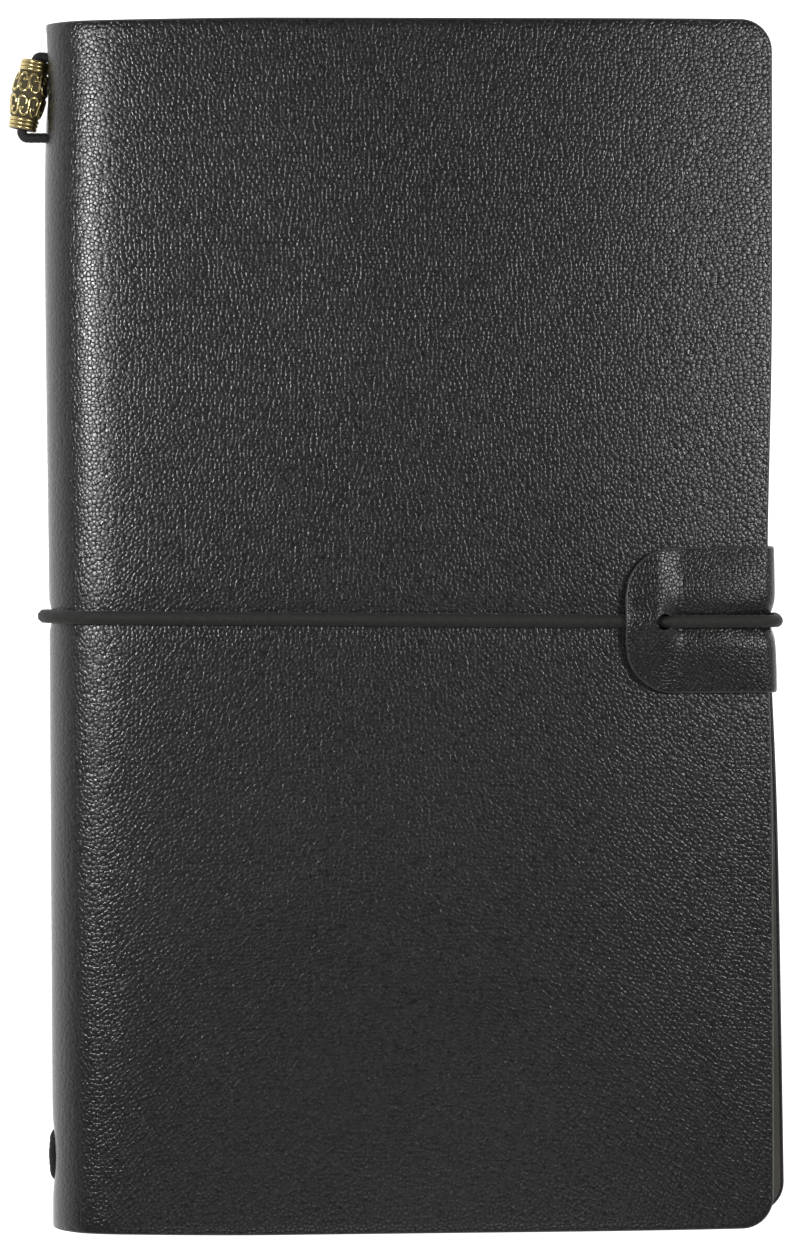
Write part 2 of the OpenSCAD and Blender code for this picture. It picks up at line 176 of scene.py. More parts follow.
def set_stops(ramp, stops):
    """Sets a colour ramp's stops: each is (place, grey or colour)."""
    while len(ramp.elements) < len(stops):
        ramp.elements.new(0.5)
    for element, (place, colour) in zip(ramp.elements, stops):
        element.position = place
        if not isinstance(colour, tuple):
            colour = (colour, colour, colour)
        element.color = (*colour, 1)


class Nodes:
    """A material's node tree, with short calls for the nodes that the materials share."""

    def __init__(self, name):
        self.material = bpy.data.materials.new(name)
        self.material.use_nodes = True
        self.tree = self.material.node_tree
        self.shader = self.tree.nodes["Principled BSDF"]
        self.coords = self.tree.nodes.new("ShaderNodeTexCoord").outputs["Object"]

    def link(self, source, target):
        self.tree.links.new(source, target)

    def stretched(self, scale, warp=0.0, warp_scale=400.0):
        """The object's coordinates in metres, scaled, and bent a little by noise."""
        at = self.coords
        if warp:
            bend = self.noise(warp_scale, 2, at, colour=True)
            mix = self.tree.nodes.new("ShaderNodeVectorMath")
            mix.operation = "MULTIPLY_ADD"
            mix.inputs[1].default_value = (warp, warp, warp)
            self.link(bend, mix.inputs[0])
            self.link(at, mix.inputs[2])
            at = mix.outputs[0]
        mapping = self.tree.nodes.new("ShaderNodeMapping")
        mapping.inputs["Scale"].default_value = scale
        self.link(at, mapping.inputs["Vector"])
        return mapping.outputs[0]

    def noise(self, scale, detail, at=None, colour=False):
        node = self.tree.nodes.new("ShaderNodeTexNoise")
        node.inputs["Scale"].default_value = scale
        node.inputs["Detail"].default_value = detail
        node.inputs["Roughness"].default_value = 0.55
        self.link(at or self.coords, node.inputs["Vector"])
        return node.outputs["Color" if colour else "Fac"]

    def voronoi(self, scale, at, feature="F1"):
        node = self.tree.nodes.new("ShaderNodeTexVoronoi")
        node.feature = feature
        node.inputs["Scale"].default_value = scale
        node.inputs["Randomness"].default_value = 0.9
        self.link(at, node.inputs["Vector"])
        return node.outputs["Distance"]

    def ramp(self, factor, stops):
        """A colour ramp: stops are (place, grey or colour)."""
        node = self.tree.nodes.new("ShaderNodeValToRGB")
        set_stops(node.color_ramp, stops)
        self.link(factor, node.inputs["Fac"])
        return node.outputs["Color"]

    def math(self, operation, a, b=None):
        node = self.tree.nodes.new("ShaderNodeMath")
        node.operation = operation
        for value, socket in ((a, node.inputs[0]), (b, node.inputs[1])):
            if isinstance(value, (int, float)):
                socket.default_value = value
            elif value is not None:
                self.link(value, socket)
        return node.outputs[0]

    def mix(self, factor, a, b):
        node = self.tree.nodes.new("ShaderNodeMix")
        node.data_type = "RGBA"
        for value, socket in ((factor, node.inputs["Factor"]), (a, node.inputs[6]), (b, node.inputs[7])):
            if isinstance(value, tuple):
                socket.default_value = (*value, 1)
            elif isinstance(value, (int, float)):
                socket.default_value = value
            else:
                self.link(value, socket)
        return node.outputs[2]

    def bump(self, height, distance, strength=1.0):
        node = self.tree.nodes.new("ShaderNodeBump")
        node.inputs["Distance"].default_value = distance
        node.inputs["Strength"].default_value = strength
        self.link(height, node.inputs["Height"])
        return node.outputs[0]

    def set(self, **values):
        """Sets or links the shader's inputs, named with _ for a space."""
        for name, value in values.items():
            socket = self.shader.inputs[name.replace("_", " ")]
            if isinstance(value, (int, float)):
                socket.default_value = value
            elif isinstance(value, tuple):
                socket.default_value = (*value, 1) if len(value) == 3 else value
            else:
                self.link(value, socket)


def leather_material(name, base, grain_mm=0.7, depth_mm=0.044, gloss=0.5):
    """Pebble-grained leather: irregular round pebbles with creases between, painted shade darkening the
    creases, rubbed smooth on the spine.
    """
    n = Nodes(name)
    at = n.stretched((1.0, 1.0, 1.0), warp=0.0002, warp_scale=1300)
    per_metre = 1 / (grain_mm * MM)
    pebble = n.voronoi(per_metre, at)
    dome = n.math("SUBTRACT", 1.0, n.math("MULTIPLY", n.math("MULTIPLY", pebble, pebble), 1.5))
    crease = n.ramp(n.voronoi(per_metre, at, "DISTANCE_TO_EDGE"), [(0.0, 0.0), (0.14, 1.0)])
    height = n.math("ADD", n.math("MULTIPLY", dome, 0.75), n.math("MULTIPLY", crease, 0.35))
    height = n.math("ADD", height, n.math("MULTIPLY", n.noise(per_metre * 3, 2), 0.12))
    split = n.tree.nodes.new("ShaderNodeSeparateXYZ")
    n.link(n.coords, split.inputs[0])
    rubbed = n.ramp(n.math("MULTIPLY", split.outputs["Z"], 50.0), [(0.5, 0.12), (0.72, 1.0)])
    height = n.math("MULTIPLY", height, rubbed)
    worn = n.noise(35, 4)
    colour = n.mix(n.ramp(worn, [(0.35, 0.0), (0.75, 1.0)]), base, tuple(1.5 * c for c in base))
    # Painted shade: the creases between the pebbles are darkened to 0.3 of the base colour
    colour = n.mix(crease, tuple(0.3 * c for c in base), colour)
    rough = n.ramp(n.noise(per_metre * 0.8, 3), [(0.3, 0.22), (0.7, 0.32)])
    n.set(Base_Color=colour, Roughness=rough, Specular_IOR_Level=gloss, Normal=n.bump(height, depth_mm * MM))
    return n.material


def lining_material():
    """Smooth grey-brown backing with a faint fibre and pressed-in dimples."""
    n = Nodes("lining")
    fibre = n.noise(1800, 4, n.stretched((1, 0.35, 1)))
    cloud = n.noise(60, 5)
    colour = n.mix(n.ramp(cloud, [(0.3, 0.0), (0.7, 1.0)]), (0.058, 0.053, 0.046), (0.082, 0.075, 0.065))
    rough = n.ramp(fibre, [(0.3, 0.55), (0.7, 0.72)])
    n.set(Base_Color=colour, Roughness=rough, Specular_IOR_Level=0.4,
          Normal=n.bump(fibre, 0.03 * MM))
    return n.material


def edge_paint_material():
    """Painted cut edge of the leather, slightly glossy and uneven."""
    n = Nodes("edge_paint")
    runs = n.noise(700, 4, n.stretched((1, 1, 3)))
    colour = n.mix(n.ramp(runs, [(0.3, 0.0), (0.8, 1.0)]), (0.014, 0.014, 0.014), (0.035, 0.033, 0.031))
    n.set(Base_Color=colour, Roughness=n.ramp(runs, [(0.2, 0.32), (0.8, 0.5)]),
          Normal=n.bump(runs, 0.05 * MM))
    return n.material


def braid_material(name, base):
    """Braided covering: fine threads on top of the modelled strands."""
    n = Nodes(name)
    threads = n.noise(5200, 3, n.stretched((0.35, 1, 1)))
    fluff = n.noise(900, 3)
    colour = n.mix(n.ramp(threads, [(0.3, 0.0), (0.7, 1.0)]), tuple(0.5 * c for c in base),
                   tuple(1.9 * c for c in base))
    n.set(Base_Color=colour, Roughness=n.ramp(fluff, [(0.2, 0.6), (0.8, 0.8)]),
          Sheen_Weight=0.05, Sheen_Roughness=0.4, Specular_IOR_Level=0.35,
          Normal=n.bump(threads, 0.04 * MM, 0.8))
    return n.material


def brass_material():
    """Antique brass: bright on what stands out, dark patina in what lies deep."""
    n = Nodes("antique_brass")
    geometry = n.tree.nodes.new("ShaderNodeAttribute")
    geometry.attribute_name = "relief"
    patches = n.noise(900, 5)
    scratches = n.noise(2600, 3, n.stretched((1, 0.2, 1)))
    blotches = n.math("MULTIPLY", n.math("SUBTRACT", patches, 0.5), 0.35)
    raised = n.math("ADD", geometry.outputs["Fac"], blotches)
    colour = n.ramp(raised, [
        (0.1, (0.06, 0.05, 0.026)), (0.45, (0.25, 0.195, 0.085)), (0.9, (0.5, 0.41, 0.19)),
    ])
    metal = n.ramp(raised, [(0.1, 0.55), (0.5, 1.0)])
    rough = n.ramp(raised, [(0.1, 0.65), (0.6, 0.34), (1.0, 0.24)])
    n.set(Base_Color=colour, Metallic=metal, Roughness=rough, Normal=n.bump(scratches, 0.02 * MM, 0.7))
    return n.material


def card_material():
    """Matt black card with fibres and rubbed edges."""
    n = Nodes("card")
    fibre = n.noise(2200, 5)
    rub = n.noise(140, 4)
    colour = n.mix(n.ramp(rub, [(0.4, 0.0), (0.8, 0.6)]), (0.022, 0.02, 0.019), (0.05, 0.046, 0.042))
    n.set(Base_Color=colour, Roughness=n.ramp(fibre, [(0.3, 0.7), (0.7, 0.85)]),
          Normal=n.bump(fibre, 0.03 * MM))
    return n.material


def paper_material():
    """Cream uncoated paper; thin dark lines of painted shade, where the gaps between the sheets would be
    shaded, show on the cut edges.
    """
    n = Nodes("paper")
    fibre = n.noise(2500, 5)
    sheets = n.noise(1.0, 2, n.stretched((60, 60, 9000)))
    facing = n.tree.nodes.new("ShaderNodeSeparateXYZ")
    n.link(n.coords.node.outputs["Normal"], facing.inputs[0])
    on_edge = n.ramp(n.math("MULTIPLY", facing.outputs["Z"], facing.outputs["Z"]), [(0.02, 1.0), (0.12, 0.0)])
    tone = n.noise(40, 3)
    colour = n.mix(n.ramp(tone, [(0.3, 0.0), (0.7, 1.0)]), (0.80, 0.725, 0.57), (0.86, 0.80, 0.66))
    # Painted shade: dark lines on the cut edges only, standing for the shade in the gaps between the sheets
    layers = n.math("MULTIPLY", n.ramp(sheets, [(0.42, 0.28), (0.52, 0.0)]), on_edge)
    colour = n.mix(layers, colour, (0.42, 0.36, 0.26))
    n.set(Base_Color=colour, Roughness=n.ramp(fibre, [(0.2, 0.75), (0.8, 0.9)]), Specular_IOR_Level=0.3,
          Normal=n.bump(n.math("ADD", fibre, n.math("MULTIPLY", sheets, on_edge)), 0.02 * MM))
    return n.material


def wire_material():
    """Galvanised steel wire, drawn along its length."""
    n = Nodes("wire")
    drawn = n.noise(3000, 3, n.stretched((1, 0.1, 1)))
    n.set(Base_Color=n.ramp(drawn, [(0.3, (0.5, 0.51, 0.52)), (0.7, (0.68, 0.69, 0.7))]), Metallic=1.0,
          Roughness=n.ramp(drawn, [(0.3, 0.26), (0.7, 0.42)]), Normal=n.bump(drawn, 0.01 * MM))
    return n.material


LEATHER = leather_material("leather", (0.008, 0.008, 0.0084))
TAB_LEATHER = leather_material("tab_leather", (0.0095, 0.0092, 0.0088), 0.62, gloss=0.36)
LINING = lining_material()
EDGE = edge_paint_material()
BRAID = braid_material("braid", (0.0085, 0.0082, 0.0075))
THIN_BRAID = braid_material("thin_braid", (0.006, 0.006, 0.006))
BRASS = brass_material()
CARD = card_material()
PAPER = paper_material()
WIRE = wire_material()


# ---------------------------------------------------------------- the leather cover

ARC = math.pi * SPINE_R
SEAM = SPINE_R * math.radians(65)
FRONT_END = ARC + EDGE_X - SPINE_X
HOLE_X = TAB_X0 + 6.2 * MM
TAB_BACK_X = EDGE_X - 15.7 * MM
DROOP_RUN = 34 * MM
DROOP_MM = 1.2
SPINE_SHORTER = 0.0045
CORD_HOLE_R = 1.1 * MM
CLOSURE_HOLE_R = 2.7 * MM
LINING_INSET = 0.7 * MM
LINING_EDGE = 0.1 * MM
TAIL_HOLES = [corner("tail_cord", 0, "y") + THIN_CORD_R, corner("tail_cord", 1, "y") - THIN_CORD_R]
HEAD_HOLES = [95.4 * MM, 82.3 * MM]


def wrap(u):
    """Point (x, z) and outward normal on the cover's outside, u along it from the spine's underside."""
    if u < 0:
        return SPINE_X - u, 0.0, 0.0, -1.0
    if u > ARC:
        return SPINE_X + u - ARC, CLOSED_T, 0.0, 1.0
    angle = math.radians(270) - u / SPINE_R
    return (SPINE_X + SPINE_R * math.cos(angle), SPINE_Z + SPINE_R * math.sin(angle),
            math.cos(angle), math.sin(angle))


# The shallow rise where the round meets the front, in mm: its height and run on the front,
# and its slope and run on the round
CREST_H, CREST_RUN = 0.55, 3.2
CREST_SLOPE, CREST_ROUND_RUN = 0.172, 3.3


def crest(along):
    """Height in mm of the shallow rise where the round meets the front, along mm past that line."""
    if along > 0:
        return CREST_H * (1 - math.exp(-along / CREST_RUN))
    return CREST_SLOPE * along * math.exp(along / CREST_ROUND_RUN)


def cover_swell(u, x, y):
    """How far the cover stands out of its flat or round shape there."""
    on_cord = bell(y - closure_height(x), 2.0 * MM)
    if u < 0:
        flap = smooth_step((x - TAB_BACK_X + 1 * MM) / (2 * MM))
        sides = smooth_step((TAB_Y1 - y + 1.5 * MM) / (2 * MM))
        sides *= smooth_step((y - TAB_Y0 + 1.5 * MM) / (2 * MM))
        flap *= sides
        return -max(1.1 * MM * flap, MM * on_cord)
    if u < ARC:
        low = 1 - smooth_step((u / ARC - 0.3) / 0.2)
        outermost = bell(u - ARC / 2, 2.5 * MM)
        under_bead = 1 - smooth_step((abs(u - ARC / 2) - 1.1 * MM) / (1.8 * MM))
        fuller = 0.38 * bell(u - ARC / 2, 9 * MM) * smooth_step((y + 5 * MM) / (70 * MM))
        fuller *= 1 - bell(y - BEAD_AT.y, 11 * MM)
        by_bead = under_bead * bell(y - BEAD_AT.y - 4.6 * MM, 5.5 * MM)
        by_tail = 0.75 * outermost * bell(y - sum(TAIL_HOLES) / 2, 4.2 * MM)
        return -MM * (0.9 * low * on_cord + 0.12 * (1 - low) * on_cord + by_bead + by_tail
                      - fuller - crest((u - ARC) / MM))
    soft = smooth_step((x - SPINE_X) / (7 * MM))
    droop = min(max((x - EDGE_X + DROOP_RUN) / DROOP_RUN, 0), 1) ** 2
    hills = waviness(x, y, 55 * MM, 3.1) * 0.22 + waviness(x, y, 24 * MM, 8.7) * 0.05
    under_tab = smooth_step((x - TAB_X0) / (6 * MM)) * bell(y - CLOSURE_Y, 13 * MM)
    crown = crest((u - ARC) / MM) - DROOP_MM * droop
    return MM * (soft * hills + crown - PRESS / MM * on_cord - 0.12 * under_tab)


def fore_edge(y, front, inset):
    """u of the fore-edge at height y, drawn in where the elastic goes round it."""
    drawn_in = 0.85 * MM * bell(y - 8 * MM, 28 * MM) + 0.9 * MM * bell(y - CLOSURE_Y, 2.4 * MM)
    if front:
        return FRONT_END - inset - drawn_in
    return -(EDGE_X - SPINE_X + BACK_REACH - BACK_SKEW * y / HALF_H) + inset + 1.3 * drawn_in


def sheet_columns(front, inset):
    """Distances in from the fore-edge to the seam, close together at the corner and round the spine."""
    radius = CORNER_R - inset
    length = abs(fore_edge(0, front, inset) - SEAM)
    bend = (ARC - SEAM if front else SEAM) + 2 * MM
    rounded = [radius * (1 - math.cos(math.radians(a))) for a in range(0, 91, 9)]
    flat = list(np.arange(radius + 2 * MM, length - bend, 2 * MM))
    steps = max(int(bend / (0.35 * MM)), 4)
    curved = [length - bend * (1 - k / steps) for k in range(steps + 1)]
    return rounded + flat + curved


def cover_sheet(name, front, depth, thick, inset, materials, rows=120, edge=0.35 * MM):
    """One layer of the cover from its fore-edge to the seam low on the spine, with rounded edges."""
    radius = CORNER_R - inset
    half = HALF_H - inset - edge
    side = 1 if front else -1
    columns = sheet_columns(front, inset + edge)
    plan = []
    for d in columns:
        reach = half if d > radius else half - radius + math.sqrt(max(radius**2 - (radius - d) ** 2, 0))
        for r in range(rows + 1):
            v = 2 * r / rows - 1
            y = reach * math.sin(v * math.pi / 2) * 0.15 + reach * v * 0.85
            y *= 1 - SPINE_SHORTER * smooth_step((d - columns[-1] + 45 * MM) / (36 * MM))
            u = fore_edge(y, front, inset + edge) - side * d
            if not front:
                share = d / columns[-1]
                u = u + (SEAM - (fore_edge(y, front, inset + edge) - side * columns[-1])) * share
            plan.append((u, y))

    def place(u, y, down):
        x, z, nx, nz = wrap(u)
        lift = cover_swell(u, x, y) - depth - down
        return Vector((x + nx * lift, y, z + nz * lift))

    n = rows + 1
    m = len(columns)
    top = [place(u, y, 0) for u, y in plan]
    under = [place(u, y, thick) for u, y in plan]
    verts = top + under
    faces = grid_faces(m, n) + grid_faces(m, n, start=len(top))
    rim = [(m - 1 - i) * n for i in range(m)] + list(range(1, n)) + [i * n + n - 1 for i in range(1, m)]
    flat = [Vector(plan[k]) for k in rim]
    steps = 5
    rings = [rim]
    for s in range(1, steps):
        turn = math.pi * (0.5 - s / steps)
        out = edge * abs(math.cos(turn)) ** 0.6
        down = thick / 2 * (1 - math.copysign(abs(math.sin(turn)) ** 0.6, math.sin(turn)))
        ring = []
        for k, at in enumerate(flat):
            along = (flat[min(k + 1, len(flat) - 1)] - flat[max(k - 1, 0)]).normalized()
            outward = Vector((along.y, -along.x)) * (1 if front else -1)
            ring.append(len(verts))
            verts.append(place(at.x + outward.x * out, at.y + outward.y * out, down))
        rings.append(ring)
    rings.append([k + len(top) for k in rim])
    first_rim = len(faces)
    for a, b in zip(rings, rings[1:]):
        faces += [(a[k], a[k + 1], b[k + 1], b[k]) for k in range(len(rim) - 1)]
    last_rim = len(faces)
    end = [(m - 1) * n + r for r in range(n)]
    cap = end + [ring[-1] for ring in rings[1:-1]] + [k + len(top) for k in reversed(end)]
    cap += [ring[0] for ring in reversed(rings[1:-1])]
    faces.append(tuple(cap))
    obj = new_object(name, verts, faces, materials[0])
    obj.data.materials.append(materials[1])
    for polygon in obj.data.polygons[first_rim:last_rim]:
        polygon.material_index = 1
    obj.data.set_sharp_from_angle(angle=math.radians(60))
    return obj


def drill(obj, holes):
    """Cuts round holes along X through the spine: each is (y, z, radius)."""
    for y, z, radius in holes:
        cut_round(obj, (SPINE_OUT_X, y, z), radius, 8 * MM, (0, math.pi / 2, 0))


def box_middle(node, axis):
    return (corner(node, 0, axis) + corner(node, 1, axis)) / 2


def make_cover():
    holes = [(y, SPINE_Z, CORD_HOLE_R) for y in TAIL_HOLES + HEAD_HOLES]
    holes.append((closure_height(SPINE_OUT_X), SPINE_Z, CLOSURE_HOLE_R))
    front = cover_sheet("cover_front", True, 0, LEATHER_T, 0, (LEATHER, EDGE))
    back = cover_sheet("cover_back", False, 0, LEATHER_T, 0, (LEATHER, EDGE))
    layer = (LEATHER_T, LINING_T, LINING_INSET, (LINING, EDGE))
    front_lining = cover_sheet("lining_front", True, *layer, edge=LINING_EDGE)
    back_lining = cover_sheet("lining_back", False, *layer, edge=LINING_EDGE)
    for piece in (front, front_lining):
        drill(piece, holes)
        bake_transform(piece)
    for piece in (back, back_lining):
        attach(piece, "back")
    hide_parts("front_cover_leather")
    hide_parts("back_cover_leather", "spine_leather")
    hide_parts("front_cover_lining")
    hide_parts("back_cover_lining", "spine_lining")


# ---------------------------------------------------------------- cords

def fillet(points, steps=8):
    """A smooth route in (x, z) through points (x, z, corner radius)."""
    route = [Vector(points[0][:2])]
    for before, here, after in zip(points, points[1:], points[2:]):
        at, radius = Vector(here[:2]), here[2]
        p = (Vector(before[:2]) - at).normalized()
        q = (Vector(after[:2]) - at).normalized()
        half = p.angle(q) / 2
        if radius <= 0 or half > math.radians(89.5):
            route.append(at)
            continue
        centre = at + (p + q).normalized() * radius / math.sin(half)
        a, b = at + p * radius / math.tan(half) - centre, at + q * radius / math.tan(half) - centre
        turn = a.angle(b)
        for i in range(steps + 1):
            s = i / steps
            route.append(centre + (a * math.sin(turn * (1 - s)) + b * math.sin(turn * s)) / math.sin(turn))
    route.append(Vector(points[-1][:2]))
    return route


def resample(route, step):
    """The same route with evenly spaced points."""
    lengths = [0.0]
    for a, b in zip(route, route[1:]):
        lengths.append(lengths[-1] + (b - a).length)
    count = max(int(lengths[-1] / step), 2)
    wanted = np.linspace(0, lengths[-1], count + 1)
    axes = [np.interp(wanted, lengths, [p[i] for p in route]) for i in range(len(route[0]))]
    return [Vector(p) for p in zip(*axes)]


def braided(name, route, across, radius, material, strands=8, pitch=1.25, sides=32, depth=0.09, flat=None):
    """A braided cord along 3-D points; across is the direction that its flat side faces away from."""
    verts, along = [], 0.0
    count = len(route)
    for i, at in enumerate(route):
        if i:
            along += (at - route[i - 1]).length
        tangent = (route[min(i + 1, count - 1)] - route[max(i - 1, 0)]).normalized()
        side = across.cross(tangent).normalized()
        up = tangent.cross(side)
        squeeze = flat(i / (count - 1)) if flat else 1.0
        for k in range(sides):
            a = 2 * math.pi * k / sides
            left = strands * a / (2 * math.pi) + along / (pitch * radius)
            right = strands * a / (2 * math.pi) - along / (pitch * radius)
            over = (math.floor(left) + math.floor(right)) % 2
            strand = abs(math.sin(math.pi * (left if over else right)))
            r = radius * (1 - depth + depth * strand)
            verts.append(at + side * (r * math.cos(a) * squeeze) + up * (r * math.sin(a)))
    faces = grid_faces(count, sides, closed=True)
    faces.append(tuple(range(sides)))
    faces.append(tuple(reversed(range((count - 1) * sides, count * sides))))
    obj = new_object(name, verts, faces, material)
    obj.data.set_sharp_from_angle(angle=math.radians(75))
    return obj


def closure_height(x):
    """The elastic lies a little higher up the spine than under the tab."""
    return CLOSURE_Y + (1.05 - 1.25 * min((x - SPINE_OUT_X) / (HOLE_X - SPINE_OUT_X), 1)) * MM


def closure_route(points):
    return [Vector((p.x, closure_height(p.x), p.y)) for p in resample(fillet(points), 0.2 * MM)]


FRONT_RUN_Z = CLOSED_T + CORD_R - PRESS
OVER_TAB_Z = CLOSED_T + TAB_T + CORD_R - 0.1 * MM
ROUND_EDGE_X = EDGE_X - 0.55 * MM + CORD_R * 0.7
WEB_SLANT = 2.2 * MM
BACK_RUN_Z = 0.76 * MM
LOW_TURN_Z = 1.8 * MM
STRETCH = HINGES["tab_pull"]["range_m"][1]
PRESSED_FLAT = 0.38


def spine_arc(first, last, radius, steps=24):
    """Points round the outside of the spine between two angles in degrees."""
    angles = [math.radians(first + (last - first) * i / steps) for i in range(steps + 1)]
    return [(SPINE_X + radius * math.cos(a), SPINE_Z + radius * math.sin(a), 0) for a in angles]


def make_closure_elastic():
    mouth = SPINE_OUT_X
    sideways = Vector((0, 1, 0))

    def out_of_hole(side):
        """How a run starts: inside the spine, then at the hole's rim, on the upper or the lower side."""
        return [
            (mouth + 3.2 * MM, SPINE_Z + side * 1.3 * MM, 0),
            (mouth + 0.9 * MM, SPINE_Z + side * 1.35 * MM, 1.2 * MM),
        ]

    front_points = out_of_hole(1) + spine_arc(166, 90, SPINE_R + CORD_R - 0.1 * MM)
    front_points += [(0, FRONT_RUN_Z, 0), (TAB_X0 + 3.5 * MM, FRONT_RUN_Z, 0)]
    front = braided("elastic_front", closure_route(front_points), sideways, CORD_R, BRAID)
    back_points = out_of_hole(-1) + spine_arc(200, 268, SPINE_R - BACK_RUN_Z)
    back_points += [(0, BACK_RUN_Z, 0), (TAB_BACK_X + 1 * MM, BACK_RUN_Z, 0)]

    def pressed_from(start):
        return lambda share: 1.0 - PRESSED_FLAT * smooth_step((share - start) / 0.06)

    back = braided(
        "elastic_back", closure_route(back_points), sideways, CORD_R, BRAID, flat=pressed_from(0.03)
    )
    tab_points = [
        (TAB_X0 - STRETCH, FRONT_RUN_Z, 0), (HOLE_X - 2.2 * MM, FRONT_RUN_Z, 3 * MM),
        (HOLE_X + 1.7 * MM, OVER_TAB_Z, 3 * MM), (ROUND_EDGE_X, OVER_TAB_Z, 2.6 * MM),
        (ROUND_EDGE_X + WEB_SLANT, LOW_TURN_Z, 1.5 * MM), (EDGE_X - 6 * MM, LOW_TURN_Z, 3 * MM),
        (TAB_BACK_X - 2 * MM, BACK_RUN_Z, 3 * MM), (TAB_BACK_X - STRETCH, BACK_RUN_Z, 0),
    ]
    over = braided(
        "elastic_tab", closure_route(tab_points), sideways, 0.92 * CORD_R, BRAID, flat=pressed_from(0.55)
    )
    for piece, body in ((front, "back"), (back, "back"), (over, "tab")):
        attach(piece, body)
        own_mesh(piece)
    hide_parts("closure_elastic_front")
    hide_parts("closure_elastic_back")
    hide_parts("closure_elastic_tab")


# ---------------------------------------------------------------- the pull tab

TAB_END_R = 8 * MM
TAB_BEND = 1.7 * MM
TAB_HOLE_R = 1.35 * MM


def tab_section():
    """The tab's middle line in (x, z) from its round front end to its back end, with outward normals."""
    top = CLOSED_T + 0.1 * MM + TAB_T / 2
    low = 0.08 * MM + TAB_T / 2
    web = EDGE_X - 0.3 * MM
    bend = web - TAB_BEND
    line = [(x, top, 0, 1) for x in np.arange(TAB_X0, bend, 0.45 * MM)]

    def quarter_turn(centre_z, first):
        """Adds a quarter turn round the bend's centre, down from the angle first in degrees."""
        for i in range(9):
            a = math.radians(first - 90 * i / 8)
            nx, nz = math.cos(a), math.sin(a)
            line.append((bend + TAB_BEND * nx, centre_z + TAB_BEND * nz, nx, nz))

    quarter_turn(top - TAB_BEND, 90)
    line += [(web, z, 1, 0) for z in np.arange(top - TAB_BEND - 0.6 * MM, low + TAB_BEND, -0.6 * MM)]
    quarter_turn(low + TAB_BEND, 0)
    line += [(x, low, 0, -1) for x in np.arange(bend - 0.6 * MM, TAB_BACK_X, -0.6 * MM)]
    slanted = []
    for x, z, nx, nz in line:
        down = min(max((top - TAB_BEND - z) / (top - low - TAB_BEND), 0), 1)
        out = min(max((x - TAB_BACK_X) / (bend - TAB_BACK_X), 0), 1)
        slanted.append((x + WEB_SLANT * down * out, z, nx, nz))
    return slanted


def tab_lift(x, y, up, out):
    """How far the tab is pushed off its plain section: over the elastic, domed, and pinched at the edge."""
    off = y - closure_height(x)
    half = (TAB_Y1 - TAB_Y0) / 2
    across = 1 - min(abs(y - CLOSURE_Y) / half, 1) ** 2
    along = min(max((x - TAB_X0) / (EDGE_X - TAB_X0), 0), 1)
    before = 1 - smooth_step((x - HOLE_X + 1.5 * MM) / (5 * MM))
    raised = (2 * CORD_R - PRESS) * (0.4 + 0.6 * bell(off, 4.5 * MM)) * before
    seat = -0.9 * MM * bell(off, 2.4 * MM) * (1 - before)
    dome = 1.1 * MM * across * math.sin(math.pi * along) ** 0.7
    pinch = -1.1 * MM * bell(off, 2.1 * MM)
    low_corner = 0.45 * MM * smooth_step(-off / half)
    return (raised + seat + dome) * max(up, 0) + (0.15 * MM * across + pinch + low_corner) * max(out, 0)


def make_tab():
    line = tab_section()
    rows = 72
    half = (TAB_Y1 - TAB_Y0) / 2
    edge = 0.18 * MM
    walked = [0.0]
    for a, b in zip(line, line[1:]):
        walked.append(walked[-1] + math.hypot(b[0] - a[0], b[1] - a[1]))
    total = walked[-1]
    plan = []
    for (x, z, nx, nz), s in zip(line, walked):
        end_r = TAB_END_R if s < total / 2 else 5 * MM
        d = min(s, total - s)
        reach = half if d >= end_r else half - end_r + math.sqrt(max(end_r**2 - (end_r - d) ** 2, 0))
        for r in range(rows + 1):
            v = 2 * r / rows - 1
            plan.append((x, z, nx, nz, s, CLOSURE_Y + (reach - edge) * v))

    def place(item, share):
        x, z, nx, nz, _, y = item
        lift = tab_lift(x, y, nz, nx) + TAB_T * (0.5 - share)
        return Vector((x + nx * lift, y, z + nz * lift))

    n = rows + 1
    m = len(line)
    top = [place(item, 0.0) for item in plan]
    under = [place(item, 1.0) for item in plan]
    verts = top + under
    faces = grid_faces(m, n) + grid_faces(m, n, start=len(top))
    rim = grid_border(m, n)
    count = len(rim)
    middle = sum((Vector((plan[k][4], plan[k][5])) for k in rim), Vector((0, 0))) / count
    rings = [rim]
    for s in range(1, 5):
        turn = math.pi * (0.5 - s / 5)
        ring = []
        for k in range(count):
            a, b = plan[rim[k - 1]], plan[rim[(k + 1) % count]]
            along = Vector((b[4] - a[4], b[5] - a[5])).normalized()
            outward = Vector((along.y, -along.x))
            here = plan[rim[k]]
            if outward.dot(Vector((here[4], here[5])) - middle) < 0:
                outward.negate()
            base = place(here, 0.5 - 0.5 * math.sin(turn))
            ahead = Vector((here[3], 0, -here[2]))
            out = edge * 1.6 * abs(math.cos(turn)) ** 0.7
            ring.append(len(verts))
            verts.append(base + (ahead * outward.x + Vector((0, 1, 0)) * outward.y) * out)
        rings.append(ring)
    rings.append([k + len(top) for k in rim])
    first_rim = len(faces)
    for a, b in zip(rings, rings[1:]):
        faces += [(a[k], a[(k + 1) % count], b[(k + 1) % count], b[k]) for k in range(count)]
    tab = new_object("tab", verts, faces, TAB_LEATHER)
    tab.data.materials.append(EDGE)
    for polygon in tab.data.polygons[first_rim:]:
        polygon.material_index = 1
    for x, z in ((HOLE_X, CLOSED_T + 2 * MM), (EDGE_X - 2.4 * MM, 0)):
        cut_round(tab, (x, closure_height(x), z), TAB_HOLE_R, 7 * MM)
    tab.data.set_sharp_from_angle(angle=math.radians(60))
    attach(tab, "tab")
    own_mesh(tab)
    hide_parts("closure_tab")


# ---------------------------------------------------------------- bead and thin cords

BEAD_L = 11.7 * MM
BEAD_R = 3.0 * MM
BEAD_END_R = 2.4 * MM
RING_L = 1.9 * MM
RING_H = 0.26 * MM


